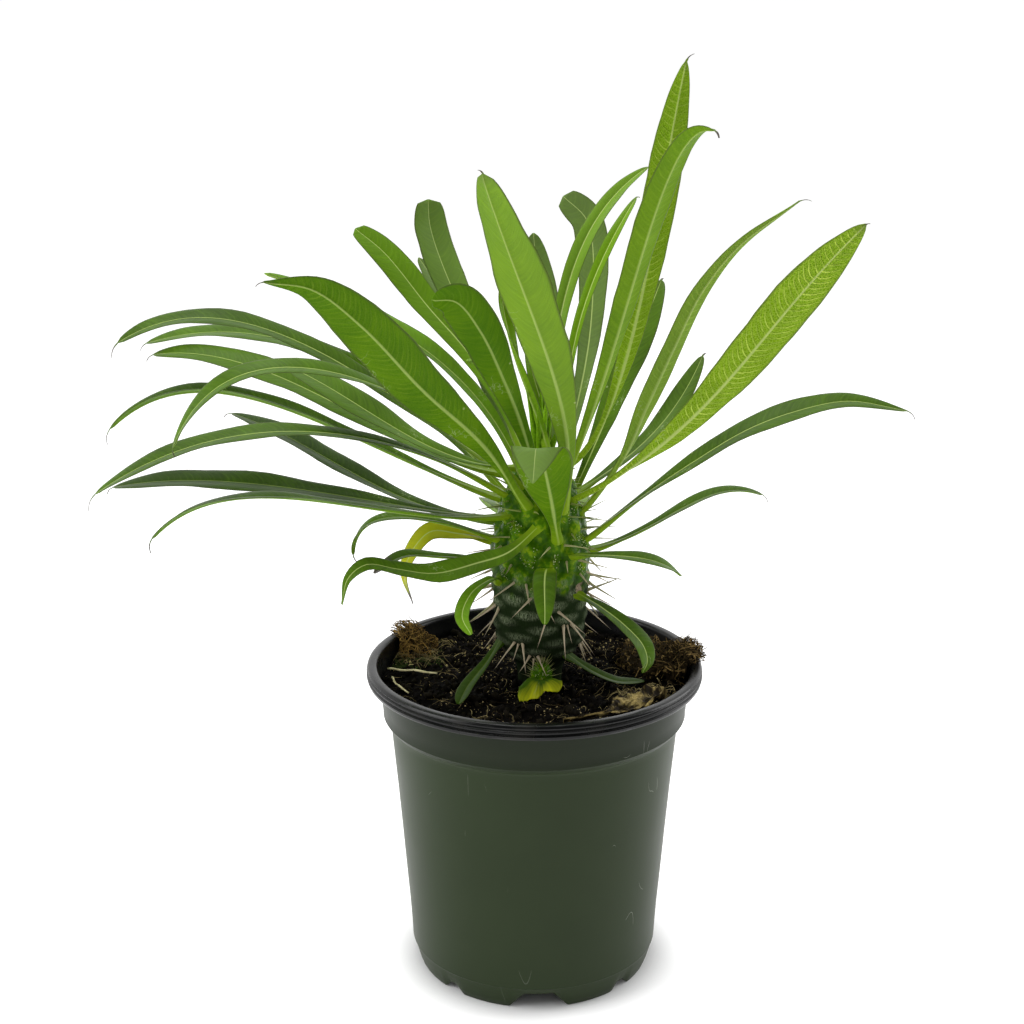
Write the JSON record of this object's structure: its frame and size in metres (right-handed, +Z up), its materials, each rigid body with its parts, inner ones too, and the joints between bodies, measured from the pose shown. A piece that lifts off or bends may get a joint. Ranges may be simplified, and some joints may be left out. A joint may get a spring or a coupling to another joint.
{
  "type": "potted succulent plant",
  "caption": "Young Madagascar palm with a thick spiny green stem and a crown of long arching strap leaves, planted in peat in a round dark green nursery pot with a black rolled rim.",
  "frame": {"origin": "on the ground, under the centre of the bounding box of the whole plant and pot, level with the pot's feet", "axes": "+Z up, along the stem; -Y towards the front, the side on which the small offset and the folded leaf stand; +X to the right seen from the front"},
  "size_m": [0.3682, 0.2102, 0.4246],
  "materials": {
    "pot_plastic": "satin, dark green with a black lip",
    "peat": "rough, damp",
    "stem_skin": "waxy, with pale grey spines",
    "leaf": "satin, waxy",
    "young_leaf": "satin, waxy",
    "yellowed_leaf": "satin",
    "dry_leaf": "matt, papery",
    "straw": "matt",
    "roots": "rough, fibrous"
  },
  "bodies": {
    "root": {"pot": "pot_plastic", "soil": "peat", "leaf_00": "young_leaf", "leaf_01": "young_leaf", "leaf_02": "young_leaf", "leaf_03": "young_leaf", "leaf_08": "young_leaf", "leaf_23": "leaf", "leaf_07": "leaf", "leaf_05": "leaf", "leaf_10": "leaf", "leaf_06": "leaf", "leaf_19": "leaf", "leaf_11": "leaf", "leaf_32": "leaf", "leaf_24": "leaf", "leaf_16": "leaf", "leaf_29": "leaf", "leaf_26": "leaf", "leaf_18": "leaf", "leaf_39": "leaf", "leaf_21": "leaf", "leaf_47": "leaf", "leaf_44": "leaf", "leaf_20": "leaf", "leaf_12": "leaf", "leaf_14": "leaf", "leaf_27": "leaf", "leaf_09": "leaf", "leaf_04": "leaf", "leaf_22": "leaf", "leaf_35": "leaf", "leaf_17": "leaf", "leaf_30": "leaf", "leaf_25": "leaf", "leaf_38": "leaf", "leaf_37": "leaf", "leaf_45": "leaf", "leaf_40": "leaf", "leaf_49": "leaf", "leaf_36": "leaf", "leaf_43": "yellowed_leaf", "leaf_51": "leaf", "leaf_28": "leaf", "leaf_65": "leaf", "leaf_59": "leaf", "leaf_93": "leaf", "leaf_99": "leaf", "stem": "stem_skin", "root_lump_left": "roots", "root_lump_right": "roots", "dry_leaf": "dry_leaf", "torn_leaf": "yellowed_leaf", "straw_long": "straw", "straw_short": "straw"}
  },
  "joints": []
}
